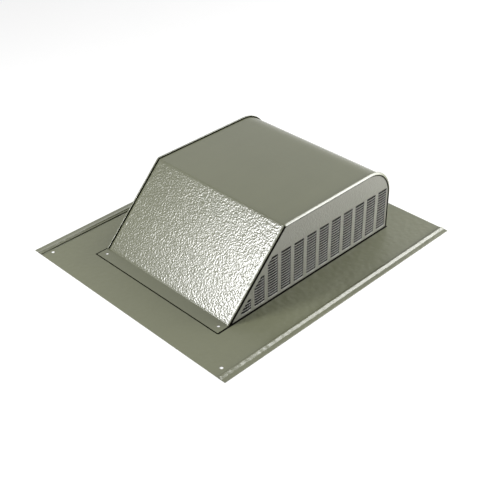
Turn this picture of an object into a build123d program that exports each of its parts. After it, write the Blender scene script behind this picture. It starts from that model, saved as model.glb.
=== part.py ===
from build123d import *
import os

# Slant back roof vent, in millimetres.
# X runs across the roof, +Y points up the roof and +Z away from it.
# The origin is on the underside of the base plate, on the axis of the throat.

# Sheet and folds
sheet = 0.6
fold_gap = 0.3

# Base plate
plate_length = 457.2
plate_flat_width = 370.0
hem_strip = 4.0
bead_rise = 1.5
bead_flat = 4.0
bead_fall = 5.0
bead_height = 2.4

# Throat
throat_radius = 101.6
collar_height = 12.7
collar_bend = 1.5

# Hood
hood_width = 254.0
hood_height = 108.0
slant_foot_y = 152.4
slant_top_y = 46.5
nose_y = -174.6
nose_radius = 48.0
slant_bend_radius = 4.0
flange_depth = 19.0
flange_bend_radius = 1.5
foot_depth = 12.0

# Seam between the hood and each side panel
seam_step = 1.4
seam_width = 3.0
seam_height = 2.4
seam_crest_bevel = 0.7
seam_foot_height = 2.0

# Louvres
column_pitch = 25.4
rib_width = 6.35
side_columns = 12
front_columns = 9
last_column_y = -159.0
row_pitch = 25.4 / 6
side_rows = 15
front_rows = 11
louvre_foot_z = 6.9
louvre_depth = 2.6
louvre_taper = 2.4
slant_margin = 12.5
shortest_louvre = 2 * louvre_taper

# Nail holes
corner_hole_radius = 2.4
corner_hole_inset_x = 8.0
corner_hole_inset_y = 15.6
flange_hole_radius = 2.2
flange_hole_inset_x = 10.3
flange_hole_from_bend = 8.5

# Places that follow from the sizes above
plate_top = sheet
leaf_top = 2 * sheet
side_out = hood_width / 2
side_in = side_out - sheet
seam_out = side_out + seam_step
seam_in = seam_out - seam_width
upright_in = seam_in + sheet + fold_gap
upright_out = seam_out - sheet - fold_gap
upright_height = seam_height - sheet - fold_gap
foot_half_width = side_in - fold_gap
flange_end_y = slant_foot_y + flange_depth
slant_lean = (slant_foot_y - slant_top_y) / hood_height
louvre_length = column_pitch - rib_width
corner_hole_x = plate_flat_width / 2 - corner_hole_inset_x
corner_hole_y = plate_length / 2 - corner_hole_inset_y
flange_hole_x = side_out - flange_hole_inset_x
flange_hole_y = slant_foot_y + flange_hole_from_bend
past_hood = 2 * plate_length
past_sheet = 4 * sheet

os.makedirs("parts", exist_ok=True)


def prism_x(face_yz, start, end):
    """Push a face drawn in the YZ plane along X, from start to end."""
    return extrude(Plane.YZ.offset(start) * face_yz, amount=end - start)


def block(x_range, y_range, z_range):
    """A plain box given by its limits along the three axes."""
    size = [limits[1] - limits[0] for limits in (x_range, y_range, z_range)]
    low = Pos(x_range[0], y_range[0], z_range[0])
    return low * Box(*size, align=(Align.MIN, Align.MIN, Align.MIN))


def hood_outline(growth, foot):
    """The hood's side view, grown outwards by growth and cut off level at foot."""
    below = hood_height
    slant_low_y = slant_foot_y + below * slant_lean
    outline = make_face(
        Polyline(
            (nose_y, -below),
            (nose_y, hood_height),
            (slant_top_y, hood_height),
            (slant_low_y, -below),
            close=True,
        )
    )
    slant_bend = outline.vertices().sort_by_distance((slant_top_y, hood_height))[0]
    rounded = fillet(slant_bend, slant_bend_radius)
    nose = rounded.vertices().sort_by_distance((nose_y, hood_height))[0]
    rounded = fillet(nose, nose_radius)
    grown = offset(rounded, growth, kind=Kind.ARC) if growth else rounded
    keep = Pos(0, foot) * Rectangle(past_hood, past_hood, align=(Align.CENTER, Align.MIN))
    return grown & keep


def band(outer, inner, foot):
    """The strip between two copies of the hood's outline."""
    return hood_outline(outer, foot) - hood_outline(inner, foot)


def louvre(length):
    """One lanced strip along Y: its upper edge is pushed in along +X, its ends stay flush."""
    foot_start = Vector(0, 0, 0)
    foot_end = Vector(0, length, 0)
    flush_start = Vector(0, 0, row_pitch)
    flush_end = Vector(0, length, row_pitch)
    pushed_start = Vector(louvre_depth, louvre_taper, row_pitch)
    pushed_end = Vector(louvre_depth, length - louvre_taper, row_pitch)
    through = Vector(sheet, 0, 0)
    front = [
        [foot_start, flush_start, pushed_start],
        [foot_start, pushed_start, pushed_end, foot_end],
        [foot_end, pushed_end, flush_end],
    ]
    back = [[corner + through for corner in facet] for facet in front]
    upper = [flush_start, pushed_start, pushed_end, flush_end]
    upper_edge = upper + [corner + through for corner in reversed(upper)]
    walls = [
        [a, b, b + through, a + through]
        for a, b in ((flush_start, foot_start), (foot_start, foot_end), (foot_end, flush_end))
    ]
    outlines = front + back + walls + [upper_edge]
    return Solid(Shell([Face(Wire.make_polygon(outline)) for outline in outlines]))


def side_louvre_rows():
    """Start, length and height of each louvre on a side, cut short where the slant comes."""
    rows = []
    for column in range(side_columns):
        start = last_column_y + column * column_pitch - louvre_length / 2
        for row in range(side_rows):
            z = louvre_foot_z + row * row_pitch
            slant_y = slant_foot_y - (z + row_pitch / 2) * slant_lean
            length = min(louvre_length, slant_y - slant_margin - start)
            if length >= shortest_louvre:
                rows.append((start, length, z))
    return rows


def front_louvre_rows():
    """Start, length and height of each louvre on the hood's upright front."""
    first = -(front_columns * column_pitch - rib_width) / 2
    heights = [louvre_foot_z + row * row_pitch for row in range(front_rows)]
    starts = [first + column * column_pitch for column in range(front_columns)]
    return [(start, louvre_length, z) for start in starts for z in heights]


def louvre_windows(rows):
    """The openings that the louvres stand in, as rectangles in the wall's own plane."""
    corner = (Align.MIN, Align.MIN)
    windows = Sketch()
    for start, length, z in rows:
        windows += Pos(start, z) * Rectangle(length, row_pitch, align=corner)
    return windows


def base_plate():
    """Flashing plate with beaded long edges, a throat with a drawn collar, and nail holes."""
    half = plate_flat_width / 2
    plate = block((-half, half), (-plate_length / 2, plate_length / 2), (0, sheet))
    for side in (1, -1):
        plate += edge_bead(side)
    bend_start = throat_radius + sheet + collar_bend
    plate -= Cylinder(bend_start, past_sheet)
    plate += throat_collar(bend_start)
    for x_side in (-1, 1):
        corner = Pos(x_side * corner_hole_x, corner_hole_y)
        plate -= corner * Cylinder(corner_hole_radius, past_sheet)
        flange = Pos(x_side * flange_hole_x, flange_hole_y)
        plate -= flange * Cylinder(flange_hole_radius, past_sheet)
    return plate


def edge_bead(side):
    """Long edge folded back on itself: a flat strip, then a low hollow bead."""
    half = plate_flat_width / 2
    rise_start = half + hem_strip
    crest_start = rise_start + bead_rise
    crest_end = crest_start + bead_flat
    outer_edge = crest_end + bead_fall
    bead = make_face(
        Polyline(
            (rise_start, 0),
            (rise_start, leaf_top),
            (crest_start, bead_height),
            (crest_end, bead_height),
            (outer_edge, sheet),
            (outer_edge, 0),
            close=True,
        )
    )
    crest = bead.vertices().filter_by(lambda v: v.Y > leaf_top)
    bead = fillet(crest, sheet)
    hollow = offset(bead, -sheet, kind=Kind.INTERSECTION)
    strip = Pos(half, 0) * Rectangle(hem_strip, leaf_top, align=(Align.MIN, Align.MIN))
    section = bead - hollow + strip
    if side < 0:
        section = mirror(section, about=Plane.YZ)
    upright = Plane.XZ.offset(-plate_length / 2) * section
    return extrude(upright, amount=plate_length, dir=(0, -1, 0))


def throat_collar(bend_start):
    """The throat's edge, drawn up through a small bend into a short upright collar."""
    wall_out = throat_radius + sheet
    outer_bend = collar_bend + sheet
    section = make_face(
        Polyline(
            (bend_start, 0),
            (bend_start, sheet),
            (wall_out, outer_bend),
            (wall_out, collar_height),
            (throat_radius, collar_height),
            (throat_radius, outer_bend),
            close=True,
        )
    )
    return revolve(Plane.XZ * section, Axis.Z)


def hood_profile():
    """Side view of the bent sheet: flange, slant, top, nose, front and turned-in foot."""
    low = Align.MIN
    slant_wall = sheet * (1 + slant_lean**2) ** 0.5
    flange_start = slant_foot_y - plate_top * slant_lean - slant_wall
    flange_length = flange_end_y - flange_start
    flange = Pos(flange_start, plate_top) * Rectangle(flange_length, sheet, align=(low, low))
    foot = Pos(nose_y, plate_top) * Rectangle(foot_depth, sheet, align=(low, low))
    profile = band(0, -sheet, plate_top) + flange + foot
    bend = profile.vertices().sort_by_distance((slant_foot_y, leaf_top))[0]
    return fillet(bend, flange_bend_radius)


def hood_sheet():
    """One bent sheet with standing side edges, flange holes and a louvred front."""
    profile = hood_profile()
    hood = prism_x(profile, -foot_half_width, foot_half_width)
    skin = band(0, -sheet, seam_foot_height)
    standing = band(upright_height, -sheet, seam_foot_height)
    for inner, outer in ((foot_half_width, upright_in), (-upright_in, -foot_half_width)):
        hood += prism_x(skin, inner, outer)
    for inner, outer in ((upright_in, upright_out), (-upright_out, -upright_in)):
        hood += prism_x(standing, inner, outer)
    for x_side in (-1, 1):
        place = Pos(x_side * flange_hole_x, flange_hole_y, leaf_top)
        hood -= place * Cylinder(flange_hole_radius, past_sheet)
    rows = front_louvre_rows()
    front = Plane(origin=(0, nose_y, 0), x_dir=(1, 0, 0), z_dir=(0, -1, 0))
    hood -= extrude(front * louvre_windows(rows), amount=-sheet)
    turned = Rot(0, 0, 90)
    strips = [Pos(start + length, nose_y, z) * turned * louvre(length) for start, length, z in rows]
    return hood.fuse(*strips)


def seam_rim():
    """Raised rim round the side: a bead with bevelled edges, hollow for the hood's standing edge."""
    passage = -sheet - fold_gap
    under = passage - sheet
    bead = prism_x(hood_outline(seam_height, seam_foot_height), -seam_out, -seam_in)
    outline_edges = bead.edges() - bead.edges().filter_by(Axis.X)
    crest = outline_edges.filter_by_position(Axis.Z, seam_foot_height, past_hood, (False, True))
    rim = chamfer(crest, seam_crest_bevel)
    rim -= prism_x(hood_outline(under, 0), -seam_out, -seam_in)
    rim -= prism_x(band(passage, under, 0), -side_in, -seam_in)
    rim -= prism_x(band(fold_gap, passage, 0), -seam_in - sheet, -seam_in)
    rim -= prism_x(band(seam_height - sheet, passage, 0), sheet - seam_out, -seam_in - sheet)
    return rim


def side_panel_left():
    """Louvred side sheet: set-back field, rim folded over the hood, foot on the plate."""
    rows = side_louvre_rows()
    field = hood_outline(-sheet - fold_gap, plate_top) - louvre_windows(rows)
    panel = prism_x(field, -side_out, -side_in) + seam_rim()
    foot_y = (nose_y + foot_depth + 2 * fold_gap, slant_foot_y - foot_depth)
    panel += block((-side_out, foot_depth - side_out), foot_y, (plate_top, leaf_top))
    strips = [Pos(-side_out, start, z) * louvre(length) for start, length, z in rows]
    return panel.fuse(*strips)


def main():
    left = side_panel_left()
    pieces = {
        "base_plate": base_plate(),
        "hood_sheet": hood_sheet(),
        "side_panel_left": left,
        "side_panel_right": mirror(left, about=Plane.YZ),
    }
    for name, piece in pieces.items():
        export_step(piece, f"parts/{name}.step")
        print(name, len(piece.solids()), round(piece.volume))


main()
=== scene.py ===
# %% [markdown]
# # A slant back roof vent in olive enamel
# The vent is folded from thin painted sheet: a flashing plate, a hood with a slanted back,
# and two louvred side panels seamed to the hood. The CAD model gives the sizes. This script
# works the same sheets out again as fine grids, because the CAD meshes are too coarse for
# soft folds and for embossing. Then it paints them and sets up a plain white studio, with the
# camera at the photograph's angle.

# %% Load the frame
import math

import bpy
import numpy as np
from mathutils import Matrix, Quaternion, Vector


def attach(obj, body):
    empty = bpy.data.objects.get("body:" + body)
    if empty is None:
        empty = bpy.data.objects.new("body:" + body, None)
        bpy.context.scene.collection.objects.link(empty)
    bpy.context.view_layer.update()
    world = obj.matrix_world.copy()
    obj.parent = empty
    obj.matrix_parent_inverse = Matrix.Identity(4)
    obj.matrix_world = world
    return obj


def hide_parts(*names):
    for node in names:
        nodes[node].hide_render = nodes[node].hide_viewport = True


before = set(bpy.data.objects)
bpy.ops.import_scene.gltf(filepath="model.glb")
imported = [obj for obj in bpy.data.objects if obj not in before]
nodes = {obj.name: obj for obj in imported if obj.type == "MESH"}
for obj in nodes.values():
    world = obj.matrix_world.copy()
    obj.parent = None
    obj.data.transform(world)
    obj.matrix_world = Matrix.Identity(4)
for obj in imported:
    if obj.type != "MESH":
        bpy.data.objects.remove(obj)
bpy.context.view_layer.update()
mm = 0.001
print("nodes:", sorted(nodes))

# %% [markdown]
# ## The camera
# A product shot is taken with a long lens, so that near and far edges keep their sizes.
# The lens and the place come from the directions in which the vent's straight edges run
# together. Aiming with a track quaternion keeps the horizon level, and a small roll is the
# tilt of the hand-held camera.

# %% Place the camera
camera_place = Vector((-0.8324, 0.8093, 0.8034))
camera_look = Vector((0.59217, -0.57118, -0.56841))
camera_roll = math.radians(-1.09)
camera_data = bpy.data.cameras.new("camera")
camera_data.sensor_width = 36.0
camera_data.lens = 72.08
camera = bpy.data.objects.new("camera", camera_data)
camera.rotation_mode = "QUATERNION"
camera.location = camera_place
level = camera_look.to_track_quat("-Z", "Y")
camera.rotation_quaternion = level @ Quaternion((0, 0, 1), camera_roll)
bpy.context.scene.collection.objects.link(camera)
bpy.context.scene.camera = camera
print("camera height in mm:", round(camera_place.z / mm))

# %% [markdown]
# ## Small helpers for node trees
# Every material here is a small network of nodes. Naming a node's type, its values and what
# feeds it in one call keeps each network short enough to read as a recipe.

# %% Node helpers


def add_node(tree, kind, values=(), **settings):
    """Adds a node, sets its settings, and puts values or links into its named inputs."""
    node = tree.nodes.new(kind)
    for name, value in settings.items():
        setattr(node, name, value)
    for name, value in dict(values).items():
        if isinstance(value, bpy.types.NodeSocket):
            tree.links.new(value, node.inputs[name])
        else:
            node.inputs[name].default_value = value
    return node


def new_group(name, inputs, outputs):
    """Starts a node group with named number inputs and outputs, and gives its two ends."""
    tree = bpy.data.node_groups.new(name, "ShaderNodeTree")
    for label, kind, default in inputs:
        socket = tree.interface.new_socket(name=label, in_out="INPUT", socket_type=kind)
        if default is not None:
            socket.default_value = default
    for label, kind in outputs:
        tree.interface.new_socket(name=label, in_out="OUTPUT", socket_type=kind)
    return tree, tree.nodes.new("NodeGroupInput"), tree.nodes.new("NodeGroupOutput")


print("helpers ready")

# %% [markdown]
# ## Clouds in the enamel
# Coil-coated sheet is never one even colour: handling, dust and the roller leave soft clouds
# and faint streaks along the coil. Two layers of noise, one of them stretched, give one mask
# that darkens the colour a little here and changes the gloss there.

# %% Group: enamel clouds
STREAK_STRETCH, STREAK_SHARE = 6.0, 0.35
clouds, clouds_in, clouds_out = new_group(
    "enamel_clouds",
    [("Vector", "NodeSocketVector", None), ("Scale", "NodeSocketFloat", 9.0)],
    [("Mask", "NodeSocketFloat")],
)
soft = add_node(
    clouds,
    "ShaderNodeTexNoise",
    {"Vector": clouds_in.outputs["Vector"], "Scale": clouds_in.outputs["Scale"], "Detail": 3.0},
)
stretched = add_node(
    clouds,
    "ShaderNodeMapping",
    {"Vector": clouds_in.outputs["Vector"], "Scale": (STREAK_STRETCH, 1.0, 1.0)},
)
streaks = add_node(
    clouds,
    "ShaderNodeTexNoise",
    {"Vector": stretched.outputs[0], "Scale": clouds_in.outputs["Scale"], "Detail": 2.0},
)
blend = add_node(
    clouds,
    "ShaderNodeMix",
    {"Factor": STREAK_SHARE, "A": soft.outputs["Fac"], "B": streaks.outputs["Fac"]},
)
clouds.links.new(blend.outputs[0], clouds_out.inputs["Mask"])
print("group:", clouds.name)

# %% [markdown]
# ## Orange peel, pebble and domes
# Enamel dries with a faint orange peel, the side panels carry a fine pebble from the rolls,
# and the slanted back is embossed with small domes. All three are shallow rounded cells that
# run in no direction. Noise would give uneven waves, while smoothed Voronoi cells give domes
# of about one size, so one group makes the heights, and each use has its own scale and depth.

# %% Group: pebble
pebble, pebble_in, pebble_out = new_group(
    "pebble",
    [("Vector", "NodeSocketVector", None), ("Scale", "NodeSocketFloat", 300.0)],
    [("Height", "NodeSocketFloat")],
)
cells = add_node(
    pebble,
    "ShaderNodeTexVoronoi",
    {"Vector": pebble_in.outputs["Vector"], "Scale": pebble_in.outputs["Scale"]},
    feature="SMOOTH_F1",
)
pebble.links.new(cells.outputs["Distance"], pebble_out.inputs["Height"])
print("group:", pebble.name)

# %% [markdown]
# ## Shade deep in a slot
# Inside a louvre's slot and under a folded edge the photograph is nearly black. Rays alone
# leave such a narrow place too pale, so the mesh carries a mark of how deep each point lies.
# This group turns the mark into a share of light, 1 on the open sheet and 0 in the depth, and
# into its opposite, the hidden share.

# %% Group: slot shade
# Painted shade: this group darkens the colour wherever the mark is deep.
SHADE_STARTS, SHADE_FULL = 0.05, 0.12
shade, shade_in, shade_out = new_group(
    "slot_shade",
    [("Depth", "NodeSocketFloat", 0.0), ("Darkest", "NodeSocketFloat", 0.0)],
    [("Light", "NodeSocketFloat"), ("Hidden", "NodeSocketFloat")],
)
open_share = add_node(
    shade,
    "ShaderNodeMapRange",
    {
        "Value": shade_in.outputs["Depth"],
        "From Min": SHADE_STARTS,
        "From Max": SHADE_FULL,
        "To Min": 1.0,
        "To Max": 0.0,
    },
)
light_share = add_node(
    shade,
    "ShaderNodeMapRange",
    {"Value": open_share.outputs[0], "To Min": shade_in.outputs["Darkest"], "To Max": 1.0},
)
hidden_share = add_node(
    shade, "ShaderNodeMath", {0: 1.0, 1: open_share.outputs[0]}, operation="SUBTRACT"
)
shade.links.new(light_share.outputs[0], shade_out.inputs["Light"])
shade.links.new(hidden_share.outputs[0], shade_out.inputs["Hidden"])
print("group:", shade.name)

# %% [markdown]
# ## The enamel itself
# The paint is a semi-gloss olive grey over thin sheet. One function builds it for all pieces,
# and each gives its own pebble, grain and gloss. The mark of the embossing lets the domes
# through and dulls the gloss a little. The mark of the slots paints shade: it darkens the
# colour, and as a black metal has next to no gloss, Metallic and Roughness rise there too.

# %% Material: enamel
OLIVE = (0.105, 0.110, 0.067)
# Painted sheen: the panels' greyer olive stands in for gloss on the same enamel as the hood.
SHEEN_GREY_OLIVE = (0.124, 0.125, 0.101)
CLOUD_DEPTH = 0.1
GLOSS_SPREAD = 0.04
PAINTED_SHADE_BLACK, PAINTED_SHADE_DULLING = 0.03, 0.6
GRAIN_SCALE = 430.0
ENAMEL_IOR = 1.6


def scaled_up(tree, value, factor, base):
    """A node's output for value x factor + base."""
    values = {0: value, 1: factor, 2: base}
    return add_node(tree, "ShaderNodeMath", values, operation="MULTIPLY_ADD").outputs[0]


def enamel(name, paint, pebble_scale, pebble_depth, grain_depth, roughness, grain_dulling):
    """Enamel with clouds in its colour and gloss, and two sizes of shallow relief.

    Colour = paint x cloud x light share of the painted shade. Roughness = base + cloud +
    grain mark x dulling + hidden share x painted shade dulling. Depths are in metres, and a scale
    is cells in a metre.
    """
    material = bpy.data.materials.new(name)
    material.use_nodes = True
    tree = material.node_tree
    tree.nodes.clear()
    place = add_node(tree, "ShaderNodeTexCoord").outputs["Object"]
    cloud = add_node(tree, "ShaderNodeGroup", {"Vector": place}, node_tree=clouds)
    colour = add_node(tree, "ShaderNodeMix", data_type="RGBA")
    tree.links.new(cloud.outputs["Mask"], colour.inputs["Factor"])
    for end, share in (("A", 1 - CLOUD_DEPTH), ("B", 1 + CLOUD_DEPTH)):
        colour.inputs[end].default_value = (*(channel * share for channel in paint), 1.0)
    # Painted shade: the mark darkens the colour and makes the paint a gloss-free black metal.
    painted_shade_mark = add_node(tree, "ShaderNodeAttribute", attribute_name="painted_shade_mark").outputs["Fac"]
    painted_shading = add_node(
        tree, "ShaderNodeGroup", {"Depth": painted_shade_mark, "Darkest": PAINTED_SHADE_BLACK}, node_tree=shade
    )
    painted = add_node(tree, "ShaderNodeVectorMath", operation="SCALE")
    tree.links.new(colour.outputs["Result"], painted.inputs[0])
    tree.links.new(painted_shading.outputs["Light"], painted.inputs["Scale"])
    low, high = roughness - GLOSS_SPREAD, roughness + GLOSS_SPREAD
    gloss = add_node(
        tree, "ShaderNodeMapRange", {"Value": cloud.outputs["Mask"], "To Min": low, "To Max": high}
    )
    grain = add_node(tree, "ShaderNodeAttribute", attribute_name="grain").outputs["Fac"]
    dulled = scaled_up(tree, grain, grain_dulling, gloss.outputs[0])
    matt = scaled_up(tree, painted_shading.outputs["Hidden"], PAINTED_SHADE_DULLING, dulled)
    hills, domes = (
        add_node(tree, "ShaderNodeGroup", {"Vector": place, "Scale": scale}, node_tree=pebble)
        for scale in (pebble_scale, GRAIN_SCALE)
    )
    relief = add_node(
        tree, "ShaderNodeBump", {"Height": hills.outputs["Height"], "Distance": pebble_depth}
    )
    embossed = add_node(
        tree, "ShaderNodeMath", {0: domes.outputs["Height"], 1: grain}, operation="MULTIPLY"
    )
    leathered = add_node(
        tree,
        "ShaderNodeBump",
        {"Height": embossed.outputs[0], "Distance": grain_depth, "Normal": relief.outputs[0]},
    )
    shader = add_node(
        tree,
        "ShaderNodeBsdfPrincipled",
        {
            "Base Color": painted.outputs[0],
            "Metallic": painted_shading.outputs["Hidden"],
            "Roughness": matt,
            "Normal": leathered.outputs[0],
            "IOR": ENAMEL_IOR,
        },
    )
    add_node(tree, "ShaderNodeOutputMaterial", {"Surface": shader.outputs[0]})
    return material


print("a slot keeps", PAINTED_SHADE_BLACK, "of the colour; domes in a metre:", GRAIN_SCALE)

# %% [markdown]
# ## Three paints
# The hood is the smoothest, but for its embossed slant. The side panels get a greyer olive,
# a painted sheen in place of their gloss, and their fields are pebbled and duller. The plate's
# flat is duller too, and has a deeper orange peel. The CAD nodes get the same paints as the
# sheets that stand for them, so that the solids look right on their own too.

# %% Mix the paints
smooth_enamel = enamel(
    "smooth_enamel",
    OLIVE,
    pebble_scale=150.0,
    pebble_depth=0.0001,
    grain_depth=0.00044,
    roughness=0.26,
    grain_dulling=0.0,
)
pebbled_enamel = enamel(
    "pebbled_enamel",
    SHEEN_GREY_OLIVE,
    pebble_scale=150.0,
    pebble_depth=0.0001,
    grain_depth=0.0004,
    roughness=0.26,
    grain_dulling=0.12,
)
rolled_enamel = enamel(
    "rolled_enamel",
    OLIVE,
    pebble_scale=140.0,
    pebble_depth=0.0004,
    grain_depth=0.0,
    roughness=0.26,
    grain_dulling=0.15,
)
finishes = {"base_plate": rolled_enamel, "hood_sheet": smooth_enamel}
for name, node in nodes.items():
    finish = finishes.get(name, pebbled_enamel)
    node.data.materials.clear()
    node.data.materials.append(finish)
    print(name, "gets", finish.name)

# %% [markdown]
# ## A closed sheet from two grids
# Folded sheet metal has an outer face, an inner face and thin edges. Both faces are grids of
# points with the same rows and columns, so a cut-out is only a cell that is left out: wherever
# a kept cell meets a missing one, a narrow wall joins the two faces. A Solidify modifier could
# add the thickness too, but here the walls of nail holes and louvre windows come for free.
# Each point of the outer face also carries two marks for the paint: how strongly the sheet is
# embossed there, and how deep the point lies in a louvre's slot or in a crease, which the
# paint turns into painted shade.

# %% Helper: closed sheet


def closed_sheet(outer, inner, keep=None, grain=0.0, painted_shade_mark=0.0, met=None):
    """Points, quads and marks of a sheet: two grids over the kept cells, joined by edge walls.

    With rows along i and columns along j, the outer face looks along i's direction x j's.
    met marks the cells, with one more all round, that a kept cell meets without a wall.
    """
    rows, columns = outer.shape[:2]
    keep = np.ones((rows - 1, columns - 1), bool) if keep is None else keep
    index = np.arange(rows * columns).reshape(rows, columns)
    first, right = index[:-1, :-1], index[:-1, 1:]
    below, last = index[1:, :-1], index[1:, 1:]
    under = rows * columns
    quads = [
        np.stack([first, below, last, right], -1)[keep],
        np.stack([first, right, last, below], -1)[keep] + under,
    ]
    met = np.pad(keep, 1) if met is None else met
    sides = (
        (met[1:-1, :-2], below, first),
        (met[1:-1, 2:], right, last),
        (met[:-2, 1:-1], first, right),
        (met[2:, 1:-1], last, below),
    )
    for neighbour, start, end in sides:
        wall = np.stack([start, end, end + under, start + under], -1)
        quads.append(wall[keep & ~neighbour])
    quads = np.concatenate(quads)
    points = np.concatenate([outer.reshape(-1, 3), inner.reshape(-1, 3)])
    marks = np.zeros((2, 2, rows, columns))
    marks[:, 0] = [np.broadcast_to(mark, (rows, columns)) for mark in (grain, painted_shade_mark)]
    marks = marks.reshape(2, -1)
    used, quads = np.unique(quads, return_inverse=True)
    return welded((points[used], quads.reshape(-1, 4), marks.T[used]))


def welded(sheet):
    """The same sheet with the points that coincide made one, so that its parts share edges."""
    points, quads, marks = sheet
    _, kept, same = np.unique(points.round(4), axis=0, return_index=True, return_inverse=True)
    return points[kept], same.ravel()[quads], marks[kept]


cell_face = np.array([[(0, 0, 0), (0, 1, 0)], [(1, 0, 0), (1, 1, 0)]], float)
cell_sheet = closed_sheet(cell_face, cell_face - (0, 0, 1))
print("a single cell closes with", len(cell_sheet[1]), "quads")

# %% Helper: join and mirror


def joined(sheets):
    """Several sheets as one: points one after the other, and quads numbered on."""
    offsets = np.cumsum([0] + [len(sheet[0]) for sheet in sheets[:-1]])
    quads = [sheet[1] + offset for sheet, offset in zip(sheets, offsets)]
    points, marks = (np.concatenate([sheet[part] for sheet in sheets]) for part in (0, 2))
    return points, np.concatenate(quads), marks


def mirrored(sheet):
    """The same sheet across the YZ plane, its quads turned round so that they face outwards."""
    points, quads, marks = sheet
    return points * (-1, 1, 1), quads[:, ::-1], marks


print("a cell and its mirror image:", len(joined([cell_sheet, mirrored(cell_sheet)])[0]), "points")

# %% [markdown]
# ## From arrays to a piece
# Blender can take a mesh point by point, but whole arrays go in much faster. Shading is smooth,
# and only folds sharper than an angle stay hard. Each piece then rides on the vent's one body
# and stands for the CAD node that it is a finer copy of.

# %% Helper: new piece
SHARP_FOLD = math.radians(32)


def new_piece(name, sheet, material, stands_for):
    """Puts a sheet in millimetres into a mesh that rides on the vent, smooth but for its folds.

    A quad with two corners in one place becomes a triangle, and a thinner one is left out.
    """
    points, quads, marks = sheet
    corner_counts = quads != np.roll(quads, 1, axis=1)
    sizes = corner_counts.sum(1)
    whole = sizes > 2
    loops = quads[whole][corner_counts[whole]]
    sizes = sizes[whole]
    mesh = bpy.data.meshes.new(name)
    mesh.vertices.add(len(points))
    mesh.vertices.foreach_set("co", (points * mm).ravel())
    mesh.loops.add(len(loops))
    mesh.loops.foreach_set("vertex_index", loops)
    mesh.polygons.add(len(sizes))
    mesh.polygons.foreach_set("loop_start", np.cumsum(sizes) - sizes)
    mesh.update(calc_edges=True)
    mesh.shade_smooth()
    mesh.set_sharp_from_angle(angle=SHARP_FOLD)
    # The second mark drives the painted shade in the enamel.
    for column, label in enumerate(("grain", "painted_shade_mark")):
        attribute = mesh.attributes.new(label, "FLOAT", "POINT")
        attribute.data.foreach_set("value", marks[:, column].astype(np.float32))
    mesh.materials.append(material)
    piece = bpy.data.objects.new(name, mesh)
    bpy.context.scene.collection.objects.link(piece)
    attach(piece, "root")
    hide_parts(stands_for)
    print(name, "has", int((sizes - 2).sum()), "triangles; repaired:", mesh.validate())


print("a fold sharper than", round(math.degrees(SHARP_FOLD)), "degrees shows as an edge")

# %% [markdown]
# ## Walking round a bent line
# Seen from the side, the hood is a line of straight runs joined by round bends, and so is the
# rim seen end on. The walk below gives each point of such a line with the direction it
# travels in, so that the sheet's thickness and its embossing can be laid off square to it.

# %% Helper: rounded walk
FINE_TURN, COARSE_TURN = math.radians(7.5), math.radians(15)


def rounded_walk(corners, radii, turn=FINE_TURN):
    """Points and unit directions along straight runs joined by arcs that touch both runs.

    An arc's centre lies its radius square off the run, and the radius x tan(half the bend)
    before the corner. One arc point stands at least every turn, in radians.
    """
    corners = np.array(corners, float)
    points, directions = [], []
    for before, corner, after, radius in zip(corners, corners[1:], corners[2:], radii):
        into = (corner - before) / np.linalg.norm(corner - before)
        out = (after - corner) / np.linalg.norm(after - corner)
        bend = math.atan2(into[0] * out[1] - into[1] * out[0], into @ out)
        across = math.copysign(1.0, bend) * np.array([-into[1], into[0]])
        centre = corner - into * radius * math.tan(abs(bend) / 2) + across * radius
        angle = np.linspace(0, bend, math.ceil(abs(bend) / turn) + 1)
        spin = np.stack([np.cos(angle), -np.sin(angle), np.sin(angle), np.cos(angle)], -1)
        spin = spin.reshape(-1, 2, 2)
        points.append(centre - spin @ across * radius)
        directions.append(spin @ into)
    points = np.concatenate([corners[:1], *points, corners[-1:]])
    directions = np.concatenate([directions[0][:1], *directions, directions[-1][-1:]])
    return points, directions


def stops_between(values, gap):
    """Fills the spaces between given stops evenly, with no space wider than gap."""
    values = np.unique(np.round(values, 4))
    parts = [
        np.linspace(low, high, math.ceil((high - low) / gap), endpoint=False)
        for low, high in zip(values, values[1:])
    ]
    return np.concatenate([*parts, values[-1:]])


def fade(value, start, end):
    """0 before start, 1 after end, and a smooth step between."""
    share = np.clip((value - start) / (end - start), 0, 1)
    return share * share * (3 - 2 * share)


print("points round a right angle:", len(rounded_walk([(0, 0), (9, 0), (9, 9)], [2])[0]))

# %% [markdown]
# ## The vent's sizes
# These are the CAD model's sizes, in millimetres. Only the lip's bow and some of the rim's
# edges are this script's own, and follow the photograph. Both the hood and the side panels
# need the sizes, because the panels follow the hood's side view. A hair is the slack that is
# left wherever two places are compared.

# %% Sizes
SHEET = 0.6
LEAF_TOP = 2 * SHEET
HAIR = 0.01
PLATE_LENGTH, FLAT_HALF, HEM_HEIGHT = 457.2, 185.0, 1.2
THROAT_RADIUS, COLLAR_HEIGHT, COLLAR_BEND = 101.6, 12.7, 2.1
CORNER_X, CORNER_Y, CORNER_RADIUS = 177.0, 213.0, 2.4
FLANGE_END = 171.4
SLANT_FOOT, SLANT_TOP = 152.4, 46.5
HOOD_TOP = 108.0
NOSE, FOOT_END = -174.6, -162.6
FLANGE_BEND, SLANT_BEND, NOSE_BEND, FOOT_BEND = 1.5, 4.0, 48.0, 0.7
HALF_WIDTH, STANDING_OUT, FOOT_HALF_WIDTH = 126.3, 126.8, 126.1
STANDING_HEIGHT = 0.7
SEAM_FOOT = 2.0
HOLE_X, HOLE_Y, HOLE_RADIUS = 116.7, 160.9, 2.2
PITCH_X, LOUVRE_LENGTH = 25.4, 19.05
PITCH_Z, LOUVRE_FOOT = 25.4 / 6, 6.9
LOUVRE_PUSH, LOUVRE_TAPER, LIP_BOW = 2.6, 2.4, 0.5
FRONT_COLUMNS, FRONT_ROWS = 9, 11
SIDE_OUT = 127.0
SIDE_COLUMNS, SIDE_ROWS = 12, 15
LAST_COLUMN_Y = -159.0
SLANT_MARGIN = 12.5
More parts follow.
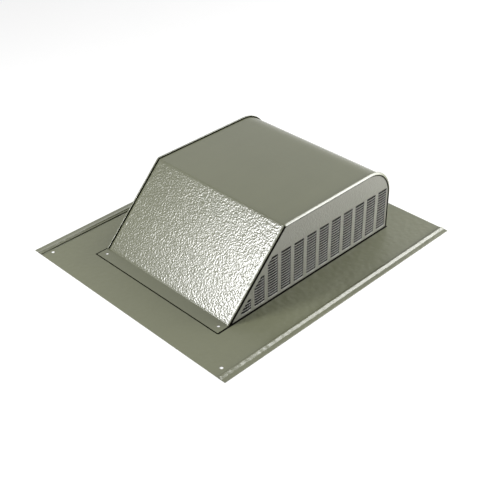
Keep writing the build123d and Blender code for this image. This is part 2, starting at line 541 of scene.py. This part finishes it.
RIM_OUT, RIM_IN = 128.4, 124.4
RIM_CREST, RIM_LAP, RIM_STEP = 2.4, 0.3, -1.5
FIELD_EDGE = -2.0
FOOT_DEPTH = 12.0
slant_lean = (SLANT_FOOT - SLANT_TOP) / HOOD_TOP
front_width = FRONT_COLUMNS * PITCH_X - (PITCH_X - LOUVRE_LENGTH)
front_starts = -front_width / 2 + PITCH_X * np.arange(FRONT_COLUMNS)
front_top = LOUVRE_FOOT + FRONT_ROWS * PITCH_Z
column_starts = LAST_COLUMN_Y + PITCH_X * np.arange(SIDE_COLUMNS) - LOUVRE_LENGTH / 2
print("slant leans", round(slant_lean, 3), "mm for each mm of height")

# %% [markdown]
# ## Nail holes in a grid
# A round hole in a grid of cells starts with grid lines at the places where they would cross
# the circle. The grid points inside the circle then move out to it, and a cell whose four
# corners all moved is left out.

# %% Helper: round holes
RING_TURN = 22.5


def ring_stops(centre, radius):
    """Grid lines that cross a circle at even angles: centre + radius x cos(angle)."""
    return centre + radius * np.cos(np.radians(np.arange(0, 181, RING_TURN)))


def round_out(points, x, y, radius):
    """Moves the points inside a hole in the low sheet out to its edge, and flags them.

    New place = centre + (place - centre) x radius / distance from the centre.
    """
    away = points[..., :2] - (x, y)
    far = np.linalg.norm(away, axis=-1)
    in_hole = (far < radius + HAIR) & (points[..., 2] < 2 * LEAF_TOP)
    share = np.where(in_hole & (far > HAIR), radius / np.maximum(far, HAIR), 1.0)
    points[..., :2] += away * (share - 1)[..., None]
    return in_hole


def all_corners(flags):
    """True for the cells whose four corners are all flagged."""
    return flags[:-1, :-1] & flags[1:, :-1] & flags[:-1, 1:] & flags[1:, 1:]


print("stops across a hole:", ring_stops(0.0, HOLE_RADIUS).round(2))

# %% [markdown]
# ## The flashing plate
# The plate is one sheet whose two long edges are folded back over it. Seen end on, its line
# starts at the edge of the hem, climbs a low crest, slopes down to a flat outer strip, turns
# round the plate's edge and runs back underneath to the other side. So the underside and the
# top of the bead are the same face of the sheet, and the plate's top is the other one. A
# plate and two bars would be simpler, but the seams between them would show.

# %% Plate seen end on
bead_corners = [(0.0, 0.0), (2.0, 0.0), (3.0, 1.35), (3.6, 1.4), (4.3, 1.22), (7.6, 0.06)]
bead_corners += [(8.2, -0.1), (9.0, -0.16), (14.5, -0.4)]
bead_corners += [(14.5, -HEM_HEIGHT), (0.0, -HEM_HEIGHT)]
bead_radii = [0.3, 0.3, 0.4, 0.5, 0.5, 0.5, 0.5, 0.2, 0.2]
bead = [(-FLAT_HALF - out, HEM_HEIGHT + up) for out, up in bead_corners]
bead_line, bead_go = rounded_walk(bead, bead_radii, COARSE_TURN)
THROAT_FRAME, FRAME_LINES = 110.0, 21
frame_stops = THROAT_FRAME * np.tan(np.radians(np.linspace(-45, 45, FRAME_LINES)))
plate_holes = [
    (side * x, y, radius)
    for side in (-1, 1)
    for x, y, radius in ((CORNER_X, CORNER_Y, CORNER_RADIUS), (HOLE_X, HOLE_Y, HOLE_RADIUS))
]
cross_stops = [ring_stops(x, radius) for x, y, radius in plate_holes]
CREASE_REACH = 1.8
foot_stops = SIDE_OUT + CREASE_REACH * np.array([-1, 0, 1])
cross_stops += [foot_stops, -foot_stops, [-FLAT_HALF, FLAT_HALF], frame_stops]
PLATE_STEP = 12.0
across_plate = stops_between(np.concatenate(cross_stops), PLATE_STEP)[1:-1]
underside = np.stack([across_plate, np.zeros(len(across_plate))], -1)
plate_line = np.concatenate([bead_line, underside, bead_line[::-1] * (-1, 1)])
plate_go = np.concatenate([bead_go, underside * 0 + (1, 0), bead_go[::-1] * (1, -1)])
plate_out = np.stack([plate_go[:, 1], -plate_go[:, 0]], -1)
inner_line = plate_line - SHEET * plate_out
inner_line[:, 1] = np.maximum(inner_line[:, 1], SHEET)
print("points round the bead:", len(bead_line))

# %% Plate and collar
along_stops = [ring_stops(y, radius) for x, y, radius in plate_holes]
along_stops += [[-PLATE_LENGTH / 2, PLATE_LENGTH / 2], frame_stops]
along_stops += [np.add(edge, [-CREASE_REACH, 0, CREASE_REACH]) for edge in (NOSE, FLANGE_END)]
up_roof = stops_between(np.concatenate(along_stops), PLATE_STEP)


def along_roof(section):
    """The end view, as x and z, repeated at every stop up the roof."""
    x, y = np.meshgrid(section[:, 0], up_roof)
    return np.stack([x, y, np.broadcast_to(section[:, 1], x.shape)], -1)


below, above = along_roof(plate_line), along_roof(inner_line)
in_hole = np.zeros(below.shape[:2], bool)
for hole in plate_holes:
    in_hole |= round_out(below, *hole)
    round_out(above, *hole)
near_throat = (np.abs(below[..., :2]) < THROAT_FRAME + HAIR).all(-1)
in_frame = all_corners(near_throat & (below[..., 2] < HAIR))
keep = ~all_corners(in_hole) & ~in_frame
flat = closed_sheet(below, above, keep, met=np.pad(keep | in_frame, 1))
print("plate grid:", keep.shape, "cells left to the throat:", int(in_frame.sum()))

# %% [markdown]
# ## The throat
# A round opening with a drawn-up collar needs its points on circles, which a boolean cut
# wouldn't give. So the plate's grid leaves a square free, and rings run from that square's
# own points in to the circle and up the collar. The square's edge has no wall, because there
# both grids share their points.

# %% Throat and plate
side_run = np.stack([np.full(len(frame_stops) - 1, THROAT_FRAME), frame_stops[:-1]], -1)
quarter = np.array([(0, 1), (-1, 0)])
square = np.concatenate([side_run @ np.linalg.matrix_power(quarter, turn) for turn in range(4)])
square = np.concatenate([square, square[:1]])
heading = square / np.linalg.norm(square, axis=1, keepdims=True)
collar = [(THROAT_RADIUS + COLLAR_BEND, 0), (THROAT_RADIUS, 0), (THROAT_RADIUS, COLLAR_HEIGHT)]
collar_line, collar_go = rounded_walk(collar, [COLLAR_BEND - HAIR], COARSE_TURN)
collar_out = np.stack([-collar_go[:, 1], collar_go[:, 0]], -1)


def round_throat(section, height):
    """The square at height first, then the collar's end view turned round the throat.

    A point is heading x radius at the section's own height.
    """
    ring = heading[None] * section[:, 0, None, None]
    flat_part = np.concatenate([square[None], ring])
    z = np.concatenate([[height], section[:, 1]])[:, None, None]
    return np.concatenate([flat_part, np.broadcast_to(z, (*flat_part.shape[:2], 1))], -1)


throat_face = round_throat(collar_line, 0.0)
throat_back = round_throat(collar_line - SHEET * collar_out, SHEET)
met = np.ones((throat_face.shape[0] + 1, throat_face.shape[1] + 1), bool)
met[-1] = False
throat = closed_sheet(throat_face, throat_back, met=met)
plate = welded(joined([flat, throat]))
x, y, z = plate[0].T
from_foot = np.maximum(np.abs(x) - SIDE_OUT, np.maximum(NOSE - y, y - FLANGE_END))
plate_grain, plate_painted_shade = plate[2].T
# Painted shade: a dark band on the plate's top along the foot of the hood and panels.
plate_painted_shade[:] = (1 - fade(np.abs(from_foot), 0.0, CREASE_REACH)) * (z > SHEET / 2)
plate_grain[:] = np.abs(x) < FLAT_HALF
new_piece("plate", plate, rolled_enamel, "base_plate")

# %% [markdown]
# ## The hood's side view
# The line starts at the uphill edge of the flange, climbs the slant, crosses the top, rounds
# the nose and ends in the foot that is turned in under the front. Its rows lie close together
# only on the slant, where the embossing needs them; elsewhere they stand at the bends, the
# nail holes and the ends of the louvre columns. A bevelled box would be quicker, but this
# line keeps each bend's own radius.

# %% Rows of the hood
side_corners = [
    (FLANGE_END, LEAF_TOP),
    (SLANT_FOOT - LEAF_TOP * slant_lean, LEAF_TOP),
    (SLANT_TOP, HOOD_TOP),
    (NOSE, HOOD_TOP),
    (NOSE, SHEET),
    (FOOT_END, SHEET),
]
side_bends = [FLANGE_BEND, SLANT_BEND, NOSE_BEND, FOOT_BEND]
hood_line, hood_go = rounded_walk(side_corners, side_bends)
steps = np.linalg.norm(np.diff(hood_line, axis=0), axis=1)
length = np.concatenate([[0.0], np.cumsum(steps)])
on_slant = (hood_line[:, 1] > LEAF_TOP + HAIR) & (hood_line[:, 0] > SLANT_TOP)
slant_from, slant_to = length[on_slant][[0, -1]]
deck_at = length[np.argmax(hood_line[:, 0] < NOSE + HAIR)] + HOOD_TOP - NOSE_BEND
GRAIN_STEP = 1.15
front_at = deck_at - np.array([front_top, LOUVRE_FOOT])
slant_stops = stops_between([slant_from, slant_to], GRAIN_STEP)
hole_stops = FLANGE_END - ring_stops(HOLE_Y, HOLE_RADIUS)
stops = np.concatenate([length, hole_stops, slant_stops, front_at])
stops = np.unique(stops.round(4))


def side_view(stops):
    """Place, direction and outward direction of the hood's line at distances along it."""
    place = np.stack([np.interp(stops, length, hood_line[:, axis]) for axis in (0, 1)], -1)
    go = np.stack([np.interp(stops, length, hood_go[:, axis]) for axis in (0, 1)], -1)
    go /= np.linalg.norm(go, axis=1, keepdims=True)
    return place, go, np.stack([go[:, 1], -go[:, 0]], -1)


row_place, _, row_out = side_view(stops)
print("rows:", len(stops), "and the slant is", round(slant_to - slant_from, 1), "mm long")

# %% Columns of the hood
HOOD_CREASE = 1.1
CREASE_EDGE = RIM_IN - HOOD_CREASE
columns = stops_between(
    np.concatenate(
        [
            [-HALF_WIDTH, -RIM_IN, -CREASE_EDGE, CREASE_EDGE, RIM_IN, HALF_WIDTH],
            ring_stops(-HOLE_X, HOLE_RADIUS),
            ring_stops(HOLE_X, HOLE_RADIUS),
            front_starts,
            front_starts + LOUVRE_LENGTH,
        ]
    ),
    GRAIN_STEP,
)
way, wide = np.meshgrid(stops, columns, indexing="ij")
print("columns:", len(columns))

# %% [markdown]
# ## The embossed grain
# The slanted back is rolled with a leathery grain of small irregular domes. Each cell of a
# loose grid has one summit, moved by chance inside its cell, and the height at a point falls
# with the square of the distance to the nearest summit. A soft maximum over the nine nearest
# cells rounds the valleys. This low relief is real and breaks up the light, and the finer
# domes in the paint's bump carry the rest. The zone, in which the slant is embossed, fades
# out at the bends and before the rims, and the paint reads it as the mark of the grain.

# %% Grain heights
GRAIN_CELL = 3.0
GRAIN_DEPTH = 0.07
GRAIN_LIMIT = 0.3
VALLEY_SHARPNESS = 9.0
SUMMIT_ROWS, SUMMIT_COLUMNS = 97, 89
BENDS_BARE, FOOT_FADE, TOP_FADE = 0.5, 3.0, 4.0
ZONE_EDGE, ZONE_FULL = 123.4, 121.4
SUMMIT_FROM, SUMMIT_ROOM = 0.2, 0.6
chances = np.random.default_rng(7).random((SUMMIT_ROWS, SUMMIT_COLUMNS, 2))
summits = SUMMIT_FROM + SUMMIT_ROOM * chances


def leather(u, v, cell):
    """Soft maximum, over nine cells, of minus the squared distance to each cell's summit."""
    u, v = u / cell, v / cell
    column, row = np.floor(u).astype(int), np.floor(v).astype(int)
    total = np.zeros(u.shape)
    for step_u in (-1, 0, 1):
        for step_v in (-1, 0, 1):
            spot = summits[(row + step_v) % SUMMIT_ROWS, (column + step_u) % SUMMIT_COLUMNS]
            far_u = column + step_u + spot[..., 0] - u
            far_v = row + step_v + spot[..., 1] - v
            total += np.exp(-VALLEY_SHARPNESS * (far_u**2 + far_v**2))
    return np.log(total) / VALLEY_SHARPNESS


heights = leather(wide, way, GRAIN_CELL)
heights = np.clip(heights - heights.mean(), -GRAIN_LIMIT, GRAIN_LIMIT)
zone = fade(way - slant_from, BENDS_BARE, FOOT_FADE)
zone *= fade(slant_to - way, BENDS_BARE, TOP_FADE)
zone *= fade(-np.abs(wide), -ZONE_EDGE, -ZONE_FULL)
relief = GRAIN_DEPTH * heights * zone
print("grain relief in mm:", relief.min().round(2), "to", relief.max().round(2))

# %% [markdown]
# ## The hood
# Outer face, inner face and the two standing edges that the side panels fold over are one
# grid. Across the roof, its line climbs the standing edge, crosses it and comes down again.
# The points near a nail hole are pulled out to the hole's edge, and the cells inside it and
# inside the louvre windows are left out.

# %% Build the hood
seamed = (row_place[:, 1:] > SEAM_FOOT) & np.ones((1, 2), bool)


def hood_face(edge_x, edge_lift, depth):
    """The side view carried across the roof: place + outward direction x (depth + lift).

    Lift is the relief, and edge_lift on the standing edges. Below the seam the sheet is
    narrower and its edges don't stand up.
    """
    edge_x = np.where(seamed, edge_x, np.minimum(edge_x, FOOT_HALF_WIDTH))
    edge_lift = np.where(seamed, edge_lift, 0.0)
    middle = np.where(seamed[:, :1], wide, np.clip(wide, -FOOT_HALF_WIDTH, FOOT_HALF_WIDTH))
    x = np.concatenate([-edge_x[:, ::-1], middle, edge_x], axis=1)
    lift = depth + np.concatenate([edge_lift[:, ::-1], relief, edge_lift], axis=1)
    y, z = (row_place[:, axis, None] + row_out[:, axis, None] * lift for axis in (0, 1))
    return np.stack([x, y, z], -1)


outer = hood_face([[HALF_WIDTH, STANDING_OUT]], [[STANDING_HEIGHT] * 2], 0.0)
inner = hood_face([[(HALF_WIDTH + STANDING_OUT) / 2, STANDING_OUT]], [[0.0] * 2], -SHEET)
in_hole = np.zeros(outer.shape[:2], bool)
for hole_x in (-HOLE_X, HOLE_X):
    in_hole |= round_out(outer, hole_x, HOLE_Y, HOLE_RADIUS)
    round_out(inner, hole_x, HOLE_Y, HOLE_RADIUS)
x, y, z = (outer[..., axis] for axis in range(3))
at_front = (y < NOSE + HAIR) & (z < front_top + HAIR) & (z > LOUVRE_FOOT - HAIR)
cell_x = (x[:-1, :-1] + x[:-1, 1:]) / 2
into_column = (cell_x - front_starts[0]) % PITCH_X
in_column = (into_column < LOUVRE_LENGTH) & (np.abs(cell_x) < front_width / 2)
keep = ~all_corners(in_hole) & ~(all_corners(at_front) & in_column)
grain_mark = np.pad(zone, ((0, 0), (2, 2)))
# Painted shade: the hood's face darkens toward each standing edge, under the rim.
crease_painted_shade = fade(np.abs(x), CREASE_EDGE, RIM_IN) * seamed[:, :1]
hood_shell = closed_sheet(outer, inner, keep, grain=grain_mark, painted_shade_mark=crease_painted_shade)
print("cells left out:", int((~keep).sum()))

# %% [markdown]
# ## Louvres
# A louvre is a strip of the sheet itself, cut along its upper edge and pushed in there, with
# ends that taper back to the sheet and a lip that bows out a little. Booleans could cut them,
# but slowly and with ragged edges. Here all strips of a wall are worked out together: the
# arrays below have one strip, then its heights, then its lengths, and few points in each.

# %% Helper: louvre strips
UP = np.array([0.0, 0.15, 0.4, 0.7, 1.0])[None, :, None]
END_STEPS = LOUVRE_TAPER * np.array([0.0, 0.2, 1.0])
MIDDLE_SHARES = (0.33, 0.5, 0.67)


def louvre_strips(start, end):
    """Along, inward and depth of strips between start and end, for each height share; the depth is
    the mark for painted shade.

    Inward push = depth x height share x end share, less the lip's bow, which falls off with
    the square of the height and is a parabola along the strip. The end share rises from each
    end as a quarter of an ellipse does.
    """
    start, end = np.broadcast_arrays(start, end)
    middles = [start + (end - start) * share for share in MIDDLE_SHARES]
    along = np.concatenate([start + END_STEPS, *middles, end - END_STEPS[::-1]], axis=2)
    nearest_end = np.minimum(along - start, end - along)
    taper = np.sqrt(1 - (1 - np.clip(nearest_end / LOUVRE_TAPER, 0, 1)) ** 2)
    middle = (along - start) / (end - start)
    bow = LIP_BOW * 4 * middle * (1 - middle) * (1 - UP) ** 2
    return along, LOUVRE_PUSH * UP * taper - bow, UP * taper


print("points in a strip:", UP.size, "by", 2 * len(END_STEPS) + len(MIDDLE_SHARES))

# %% Louvres of the front
foot = LOUVRE_FOOT + PITCH_Z * np.arange(FRONT_ROWS)
foot, start = (grid.reshape(-1, 1, 1) for grid in np.meshgrid(foot, front_starts))
# The depth into each strip is the mark for painted shade in the louvre.
along, inward, painted_shade_mark = louvre_strips(start + 0 * UP, start + LOUVRE_LENGTH)
up = np.broadcast_to(foot + PITCH_Z * UP, along.shape)
faces = np.stack([along, NOSE + inward, up], -1)[:, ::-1]
painted_shade_mark = painted_shade_mark[:, ::-1]
front_strips = [
    closed_sheet(face, face + (0, SHEET, 0), painted_shade_mark=depth) for face, depth in zip(faces, painted_shade_mark)
]
new_piece("hood", joined([hood_shell, *front_strips]), smooth_enamel, "hood_sheet")
print("louvres in the front:", len(front_strips))

# %% [markdown]
# ## The side panels
# Each side is a flat panel with twelve columns of louvres, set back behind a raised rim. The
# columns stand at fixed places, and toward the slant every strip ends a fixed margin before
# it. So the panel is a grid whose column lines stop at that margin line: cells beyond it
# shrink to nothing and drop out, and the cells where a strip stands are left out. Shade is
# painted along its edge under the rim and along its foot, by the same mark as in the slots.

# %% Lines of the panel
RIM_SHADE = 0.13
arc = np.radians(np.arange(0, 91, 7.5))
arc_heights = HOOD_TOP - NOSE_BEND + (NOSE_BEND + FIELD_EDGE) * np.sin(arc)
LEAST_STEP = 1.0
row_feet = LOUVRE_FOOT + PITCH_Z * np.arange(SIDE_ROWS + 1)
FOOT_CREASE, FIELD_CREASE = 2.6, 2.4
EDGE_CREASE = FIELD_CREASE - FIELD_EDGE
above_rows = arc_heights[arc_heights > row_feet[-1] + LEAST_STEP]
levels = [[SHEET, FOOT_CREASE], row_feet, above_rows]
levels = np.sort(np.concatenate([*levels, [HOOD_TOP - EDGE_CREASE]]))[:, None]


def slant_at(z, inset):
    """Where the slanted back's line, set in by a distance square to it, stands at height z."""
    return SLANT_FOOT - z * slant_lean - inset * math.hypot(1, slant_lean)


def margin_at(z):
    """Where the louvres end before the slant, at height z."""
    return SLANT_FOOT - z * slant_lean - SLANT_MARGIN


def nose_at(z, inset):
    """Where the round nose's line, set in by a distance square to it, stands at height z."""
    over = np.maximum(z - (HOOD_TOP - NOSE_BEND), 0)
    return NOSE + NOSE_BEND - np.sqrt(np.maximum((NOSE_BEND - inset) ** 2 - over**2, 0))


print("levels:", len(levels), "and the margin at the foot:", round(float(margin_at(0.0)), 1))

# %% Panel field
nose_line, slant_line = nose_at(levels, -FIELD_EDGE), slant_at(levels, -FIELD_EDGE)
edges = np.stack([column_starts, column_starts + LOUVRE_LENGTH], -1).reshape(1, -1)
edges = np.clip(edges, nose_line, np.maximum(margin_at(levels), nose_line))
creased = nose_at(levels, EDGE_CREASE), slant_at(levels, EDGE_CREASE)
y = np.concatenate([nose_line, creased[0], edges, creased[1], slant_line], axis=1)
y[:, 2:-2] = np.maximum(y[:, 2:-2], creased[0])
top_row = levels[:, 0] > HOOD_TOP - EDGE_CREASE + HAIR
y[top_row, -2] = (y[top_row, -3] + y[top_row, -1]) / 2
field = np.stack([np.full(y.shape, -SIDE_OUT), y, np.broadcast_to(levels, y.shape)], -1)
from_slant = (slant_at(levels, 0) - y) / math.hypot(1, slant_lean)
far_up = np.hypot(y - NOSE - NOSE_BEND, np.maximum(levels - HOOD_TOP + NOSE_BEND, 0))
from_nose = np.where(y < NOSE + NOSE_BEND, NOSE_BEND - far_up, HOOD_TOP - levels)
from_rim = np.minimum(from_slant, from_nose)
# Painted shade: the panel darkens near the rim and toward its foot.
rim_shade = 1 - fade(from_rim, -FIELD_EDGE, EDGE_CREASE)
foot_shade = 1 - fade(levels, LEAF_TOP, FOOT_CREASE)
middles = (levels[:-1] + levels[1:]) / 2
cell = np.arange(y.shape[1] - 1)[None]
starts = column_starts[np.clip((cell - 2) // 2, 0, SIDE_COLUMNS - 1)]
in_rows = (middles > row_feet[0]) & (middles < row_feet[-1])
in_column = (cell % 2 == 0) & (cell > 1) & (cell < 2 * SIDE_COLUMNS + 1)
room = margin_at(middles) - starts
is_open = in_rows & in_column & (room >= 2 * LOUVRE_TAPER)
field_shade = np.maximum(RIM_SHADE * rim_shade, foot_shade)
field_back = field + (SHEET, 0, 0)
field_sheet = closed_sheet(field, field_back, keep=~is_open, grain=1.0, painted_shade_mark=field_shade)
print("panel grid:", field.shape[:2], "windows:", int(is_open.sum()))

# %% Louvres of the panel
row, column = np.nonzero(is_open)
foot, head = levels[row, :, None], levels[row + 1, :, None]
up = foot + (head - foot) * UP
start = starts[0, column][:, None, None]
end = np.minimum(start + LOUVRE_LENGTH, margin_at(up))
# The depth into each strip is the mark for painted shade in the louvre.
along, inward, painted_shade_mark = louvre_strips(start, end)
up = np.broadcast_to(up, along.shape)
faces = np.stack([inward - SIDE_OUT, along, up], -1)
side_strips = [
    closed_sheet(face, face + (SHEET, 0, 0), painted_shade_mark=depth) for face, depth in zip(faces, painted_shade_mark)
]
print("louvres in each side:", len(side_strips))

# %% [markdown]
# ## The rim
# The panel's edge steps out, climbs over the hood's standing edge and is folded down again,
# which makes the raised rim. Seen end on it is a second bent line, and that line is carried
# along the hood's side view. A swept curve could make it too, but this way it is laid off
# from the same line as the hood, so that the two fit. Its wall leans in as it climbs, and its
# rounded crest catches the light. Shade is painted under its step and inside its lap, and
# along the slant the painted shade is broader, because there the photograph shows a dark line.

# %% Rim seen end on
RIM_LEAN, RIM_FALL = 2.0, 0.4
WALL_SHARE, WALL_MIDDLE = 0.7, 1.0
STEP_SHADE, SLANT_SHADE = 0.6, 2.6
LAP_DARK, LAP_LIGHT = 0.6, 1.6
FACES_BACK, FACES_UP = 0.5, 0.1
rim_corners = [
    (-SIDE_OUT, FIELD_EDGE),
    (-SIDE_OUT, RIM_STEP),
    (-RIM_OUT, RIM_STEP),
    (WALL_SHARE * RIM_LEAN - RIM_OUT, WALL_MIDDLE),
    (RIM_LEAN - RIM_OUT, RIM_CREST - RIM_FALL),
    (-RIM_IN, RIM_CREST),
    (-RIM_IN, RIM_LAP),
]
rim_bends = [0.3, 0.5, 0.2, 0.6, 0.6]
rim_line, rim_go = rounded_walk(rim_corners, rim_bends, COARSE_TURN)
rim_out = np.stack([-rim_go[:, 1], rim_go[:, 0]], -1)
print("points round the rim:", len(rim_line))

# %% Carry the rim along the hood
slant_rise = hood_line[on_slant][0, 1] - SEAM_FOOT
seam_from = slant_from - slant_rise * math.hypot(1, slant_lean)
seam_to = deck_at - SEAM_FOOT
SEAM_GAP = 0.5
seam_stops = length[(length > seam_from + SEAM_GAP) & (length < seam_to - SEAM_GAP)]
seam_stops = np.concatenate([[seam_from], seam_stops, [seam_to]])
seam_place, seam_go, seam_out = side_view(seam_stops)
seam_place[0] = (SLANT_FOOT - SEAM_FOOT * slant_lean, SEAM_FOOT)
seam_go[0], seam_out[0] = seam_go[1], seam_out[1]


def rim_face(section):
    """Carries the end view along the hood: x as it is, y and z = place + outward x lift.

    The first end view then slides along the hood's line until it stands level at SEAM_FOOT.
    """
    lift = section[None, :, 1]
    y, z = (seam_place[:, axis, None] + seam_out[:, axis, None] * lift for axis in (0, 1))
    slide = (SEAM_FOOT - z[:1]) / seam_go[0, 1]
    y[:1] += slide * seam_go[0, 0]
    z[:1] += slide * seam_go[0, 1]
    return np.stack([np.broadcast_to(section[None, :, 0], y.shape), y, z], -1)


rim_x, rim_lift = rim_line.T
slanted = (seam_out[:, :1] > FACES_BACK) & (seam_out[:, 1:] > FACES_UP)
# Painted shade: dark at the wall's foot, broader along the slant, and inside the lap.
shade_height = RIM_STEP + STEP_SHADE + SLANT_SHADE * slanted
under_step_painted_shade = 1 - fade(rim_lift, shade_height - STEP_SHADE, shade_height)
lap_painted_shade = (1 - fade(rim_lift, LAP_DARK, LAP_LIGHT)) * (rim_x > -(RIM_OUT + RIM_IN) / 2)
rim_painted_shade = np.maximum(RIM_SHADE * under_step_painted_shade, lap_painted_shade)
rim = closed_sheet(rim_face(rim_line), rim_face(rim_line - SHEET * rim_out), painted_shade_mark=rim_painted_shade)
print("rim grid:", len(seam_place), "by", len(rim_line))

# %% [markdown]
# ## Foot and both sides
# Under the louvres the panel has a foot that is turned in and lies on the plate. The right
# side is the left one across the middle plane, with its quads turned round. The photograph
# shows the rims without the panels' pebble, so each rim is a piece of its own.

# %% Foot, and both panels
foot_x, foot_y = np.meshgrid(
    [SHEET - SIDE_OUT, FOOT_DEPTH - SIDE_OUT],
    [FOOT_END + SHEET, SLANT_FOOT - FOOT_DEPTH],
    indexing="ij",
)
foot_top = np.stack([foot_x, foot_y, np.full(foot_x.shape, LEAF_TOP)], -1)
foot_sheet = closed_sheet(foot_top, foot_top - (0, 0, SHEET))
left = joined([field_sheet, *side_strips, foot_sheet])
new_piece("left_panel", left, pebbled_enamel, "side_panel_left")
new_piece("right_panel", mirrored(left), pebbled_enamel, "side_panel_right")
new_piece("left_rim", rim, smooth_enamel, "side_panel_left")
new_piece("right_rim", mirrored(rim), smooth_enamel, "side_panel_right")

# %% [markdown]
# ## Floor
# The vent stands on white paper. For the camera and for reflections the paper glows by
# itself over a dim matt coat, while soft light meets plain matt paper. So the ground is white
# without strong lamps, and the vent's soft shadow stays on it.

# %% White paper
PAPER_SHADED, PAPER_BOUNCE, PAPER_GLOW = 0.3, 0.8, 0.76
WHITE = (1.0, 1.0, 1.0, 1.0)


def seen_directly(tree):
    """1 for a ray that comes from the camera or off a glossy face, and 0 for soft light."""
    ray = add_node(tree, "ShaderNodeLightPath")
    camera_or_gloss = {0: ray.outputs["Is Camera Ray"], 1: ray.outputs["Is Glossy Ray"]}
    return add_node(tree, "ShaderNodeMath", camera_or_gloss, operation="MAXIMUM").outputs[0]


paper = bpy.data.materials.new("white_paper")
paper.use_nodes = True
tree = paper.node_tree
tree.nodes.clear()
shaded, bounce = (
    add_node(tree, "ShaderNodeBsdfDiffuse", {"Color": (grey, grey, grey, 1.0)})
    for grey in (PAPER_SHADED, PAPER_BOUNCE)
)
glow = add_node(tree, "ShaderNodeEmission", {"Color": WHITE, "Strength": PAPER_GLOW})
shown = add_node(tree, "ShaderNodeAddShader", {0: shaded.outputs[0], 1: glow.outputs[0]})
pick = add_node(
    tree,
    "ShaderNodeMixShader",
    {0: seen_directly(tree), 1: bounce.outputs[0], 2: shown.outputs[0]},
)
add_node(tree, "ShaderNodeOutputMaterial", {"Surface": pick.outputs[0]})
print("paper:", len(tree.nodes), "nodes")

# %% Floor
FLOOR_SIDE, FLOOR_DROP = 6.0, 0.0005
floor_mesh = bpy.data.meshes.new("floor")
corner = FLOOR_SIDE / 2
floor_mesh.from_pydata(
    [(-corner, -corner, 0), (corner, -corner, 0), (corner, corner, 0), (-corner, corner, 0)],
    [],
    [(0, 1, 2, 3)],
)
floor = bpy.data.objects.new("floor", floor_mesh)
floor.location.z = -FLOOR_DROP
bpy.context.scene.collection.objects.link(floor)
floor_mesh.materials.append(paper)
print("floor:", FLOOR_SIDE, "m square")

# %% [markdown]
# ## Lamps
# Painted sheet shows its shape by what it mirrors, so each lamp has a surface to light. Three
# boxes stand close together where the slant mirrors them, so that its gloss rises toward one
# side. The large box and the high strip show how the nose is rounded. The low wall and the
# box beside it light the louvres, and the last two strips draw the rim's light line.

# %% Lamps


def softbox(name, toward, distance, size, power, height=None):
    """A square or oblong area lamp at a distance along a direction, facing the vent."""
    data = bpy.data.lights.new(name, "AREA")
    data.shape = "RECTANGLE"
    data.size, data.size_y = size, height or size
    data.energy = power
    lamp = bpy.data.objects.new(name, data)
    direction = Vector(toward).normalized()
    lamp.location = direction * distance
    lamp.rotation_mode = "QUATERNION"
    lamp.rotation_quaternion = (-direction).to_track_quat("-Z", "Y")
    bpy.context.scene.collection.objects.link(lamp)
    print(name, "at", [round(v, 2) for v in lamp.location])


softbox("key_softbox", (0.574, 0.83, 0.71), 1.24, 0.42, 0.8)
softbox("key_nearer", (0.438, 0.838, 0.611), 1.12, 0.4, 2.0)
softbox("key_core", (0.345, 0.81, 0.68), 1.0, 0.27, 8.4)
softbox("nose_softbox", (-0.2, -0.9, 0.5), 1.6, 1.0, 9.5)
softbox("high_strip", (-0.12, -1.0, 1.25), 1.6, 0.28, 7.9, 0.75)
softbox("low_wall", (-0.62, -0.55, 0.16), 0.84, 0.9, 6.6, 0.28)
softbox("nose_side", (-0.72, -0.60, 0.33), 1.4, 0.6, 8.0)
softbox("edge_strip", (-0.57, -0.57, 0.59), 1.6, 0.5, 4.3)
softbox("slant_edge_strip", (-0.805, 0.427, 0.41), 1.6, 0.35, 2.4)

# %% [markdown]
# ## The white room
# The world is white to the camera and in reflections, as a studio's walls are, but it gives
# only a little light, so that the lamps alone model the vent. The Standard view shows colours
# as they are written.

# %% World and view
ROOM_FILL = 0.05
scene = bpy.context.scene
world = bpy.data.worlds.new("studio")
scene.world = world
world.use_nodes = True
tree = world.node_tree
tree.nodes.clear()
strength = add_node(
    tree, "ShaderNodeMapRange", {"Value": seen_directly(tree), "To Min": ROOM_FILL, "To Max": 1.0}
)
wall = add_node(tree, "ShaderNodeBackground", {"Color": WHITE, "Strength": strength.outputs[0]})
add_node(tree, "ShaderNodeOutputWorld", {"Surface": wall.outputs[0]})
scene.view_settings.view_transform = "Standard"
print("the room gives", ROOM_FILL, "of white as light")
